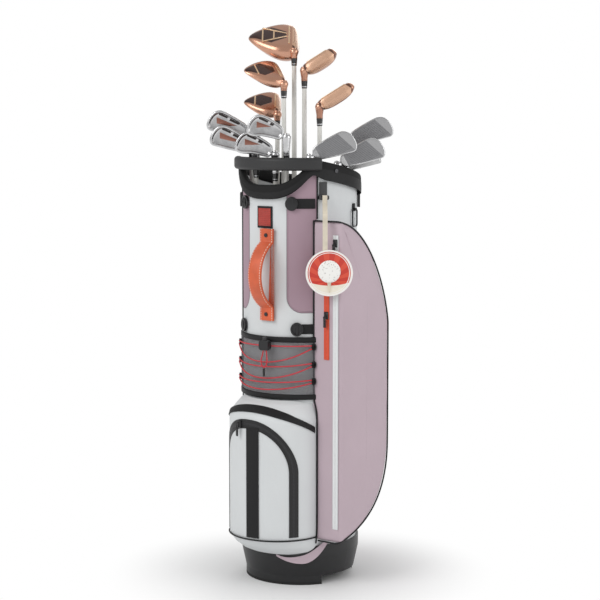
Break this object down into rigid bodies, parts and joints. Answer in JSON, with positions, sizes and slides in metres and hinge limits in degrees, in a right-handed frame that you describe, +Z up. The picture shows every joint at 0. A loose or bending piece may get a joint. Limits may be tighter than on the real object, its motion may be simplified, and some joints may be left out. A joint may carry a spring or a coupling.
{
  "type": "golf club set",
  "caption": "Upright golf cart bag with pockets, handle and tag, holding a full set of woods, irons and a putter that lift out.",
  "frame": {"origin": "on the floor under the bag's axis, at the middle of the base's sole", "axes": "+Z up along the bag, -Y out of the front with the carry handle, +X out of the large side pocket"},
  "size_m": [0.3373, 0.3638, 1.1489],
  "materials": {
    "black_plastic": "satin moulded plastic",
    "sole_rubber": "matt rubber",
    "panel_fabric": "coated woven fabric, white with dusty pink panels",
    "pink_fabric": "coated woven fabric, dusty pink",
    "stay_metal": "plain extruded",
    "lining_fabric": "black nylon lining",
    "cuff_fabric": "padded black fabric",
    "bar_rubber": "dark grey grip rubber",
    "rivet_metal": "black",
    "mesh": "diamond net",
    "black_webbing": "woven webbing",
    "red_elastic": "braided elastic",
    "white_zip": "welded zip",
    "red_zip": "welded zip",
    "orange_leather": "stitched leather",
    "red_patch": "stitched patch",
    "black_metal": "gloss black",
    "cream_leather": "smooth",
    "tag_plastic": "printed with a plain ball design",
    "copper_head": "copper metallic",
    "iron_metal": "polished and brushed",
    "putter_metal": "satin",
    "club_shaft": "pearl white graphite"
  },
  "bodies": {
    "bag": {"badge_patch": "red_patch", "ball_pocket": "panel_fabric", "ball_zip_tape": "black_webbing", "base_cup": "black_plastic", "base_soles": "sole_rubber", "body_stays": "stay_metal", "body_tube": "panel_fabric", "buckle_webbing": "black_webbing", "carry_handle": "orange_leather", "collar_cuff": "cuff_fabric", "cord_lock": "black_plastic", "divider_frame": "black_plastic", "divider_sheets": "lining_fabric", "fasteners": "rivet_metal", "front_handle_bar": "bar_rubber", "gusset_zip_tape": "red_zip", "lace_cord": "red_elastic", "lace_loops": "black_webbing", "mesh_hem": "black_webbing", "mesh_panel": "mesh", "shoulder_strap": "cuff_fabric", "side_pocket": "pink_fabric", "side_zip_tape": "white_zip", "strap_anchors": "black_plastic", "strap_buckles": "black_plastic", "tag_ring": "black_plastic", "towel_ring_tab": "black_webbing"},
    "towel_ring": {"towel_ring": "black_metal"},
    "tag": {"tag_strap": "cream_leather", "golf_tag": "tag_plastic"},
    "lock_button": {"cord_lock_button": "black_plastic"},
    "side_slider": {"side_zip_slider": "black_plastic"},
    "gusset_slider": {"gusset_zip_slider": "black_plastic"},
    "ball_slider": {"ball_zip_slider": "black_plastic"},
    "driver": {"driver_head": "copper_head", "driver_shaft": "club_shaft"},
    "fairway_wood_a": {"fairway_wood_a_head": "copper_head", "fairway_wood_a_shaft": "club_shaft"},
    "fairway_wood_b": {"fairway_wood_b_head": "copper_head", "fairway_wood_b_shaft": "club_shaft"},
    "fairway_wood_c": {"fairway_wood_c_head": "copper_head", "fairway_wood_c_shaft": "club_shaft"},
    "hybrid": {"hybrid_head": "copper_head", "hybrid_shaft": "club_shaft"},
    "iron_a": {"iron_a_head": "iron_metal", "iron_a_shaft": "club_shaft"},
    "iron_b": {"iron_b_head": "iron_metal", "iron_b_shaft": "club_shaft"},
    "iron_c": {"iron_c_head": "iron_metal", "iron_c_shaft": "club_shaft"},
    "iron_d": {"iron_d_head": "iron_metal", "iron_d_shaft": "club_shaft"},
    "iron_e": {"iron_e_head": "iron_metal", "iron_e_shaft": "club_shaft"},
    "iron_f": {"iron_f_head": "iron_metal", "iron_f_shaft": "club_shaft"},
    "iron_g": {"iron_g_head": "iron_metal", "iron_g_shaft": "club_shaft"},
    "putter": {"putter_head": "putter_metal", "putter_shaft": "club_shaft"}
  },
  "joints": [
    {"name": "driver_lift", "type": "slide", "parent": "bag", "child": "driver", "axis": [0, 0, 1], "range_m": [0, 0.86]},
    {"name": "fairway_wood_a_lift", "type": "slide", "parent": "bag", "child": "fairway_wood_a", "axis": [0, 0, 1], "range_m": [0, 0.001]},
    {"name": "fairway_wood_b_lift", "type": "slide", "parent": "bag", "child": "fairway_wood_b", "axis": [0, 0, 1], "range_m": [0, 0.05]},
    {"name": "fairway_wood_c_lift", "type": "slide", "parent": "bag", "child": "fairway_wood_c", "axis": [0, 0, 1], "range_m": [0, 0.86]},
    {"name": "hybrid_lift", "type": "slide", "parent": "bag", "child": "hybrid", "axis": [0, 0, 1], "range_m": [0, 0.86]},
    {"name": "iron_a_lift", "type": "slide", "parent": "bag", "child": "iron_a", "axis": [0, 0, 1], "range_m": [0, 0.08]},
    {"name": "iron_b_lift", "type": "slide", "parent": "bag", "child": "iron_b", "axis": [0, 0, 1], "range_m": [0, 0.74]},
    {"name": "iron_c_lift", "type": "slide", "parent": "bag", "child": "iron_c", "axis": [0, 0, 1], "range_m": [0, 0.86]},
    {"name": "iron_d_lift", "type": "slide", "parent": "bag", "child": "iron_d", "axis": [0, 0, 1], "range_m": [0, 0.86]},
    {"name": "iron_e_lift", "type": "slide", "parent": "bag", "child": "iron_e", "axis": [0, 0, 1], "range_m": [0, 0.86]},
    {"name": "iron_f_lift", "type": "slide", "parent": "bag", "child": "iron_f", "axis": [0, 0, 1], "range_m": [0, 0.86]},
    {"name": "iron_g_lift", "type": "slide", "parent": "bag", "child": "iron_g", "axis": [0, 0, 1], "range_m": [0, 0.86]},
    {"name": "putter_lift", "type": "slide", "parent": "bag", "child": "putter", "axis": [0, 0, 1], "range_m": [0, 0.86]},
    {"name": "towel_ring_swing", "type": "hinge", "parent": "bag", "child": "towel_ring", "pos_m": [0.11799, 0.02942, 0.7674], "axis": [-0.2419, 0.9703, 0], "range_deg": [-100, 0]},
    {"name": "tag_swing", "type": "hinge", "parent": "bag", "child": "tag", "pos_m": [0.11033, -0.0637, 0.8], "axis": [0.7986, 0.6018, 0], "range_deg": [-75, 0]},
    {"name": "lock_button_press", "type": "slide", "parent": "bag", "child": "lock_button", "axis": [0, 0, -1], "range_m": [0, 0.004], "stiffness_N_per_m": 400, "springref_m": -0.001},
    {"name": "side_zip_open", "type": "slide", "parent": "bag", "child": "side_slider", "axis": [0, 0, -1], "range_m": [0, 0.55]},
    {"name": "gusset_zip_open", "type": "slide", "parent": "bag", "child": "gusset_slider", "axis": [0, 0, 1], "range_m": [-0.055, 0.038]},
    {"name": "ball_zip_open", "type": "hinge", "parent": "bag", "child": "ball_slider", "pos_m": [0, -0.076, 0.338], "axis": [0, 0, 1], "range_deg": [0, 24]}
  ]
}
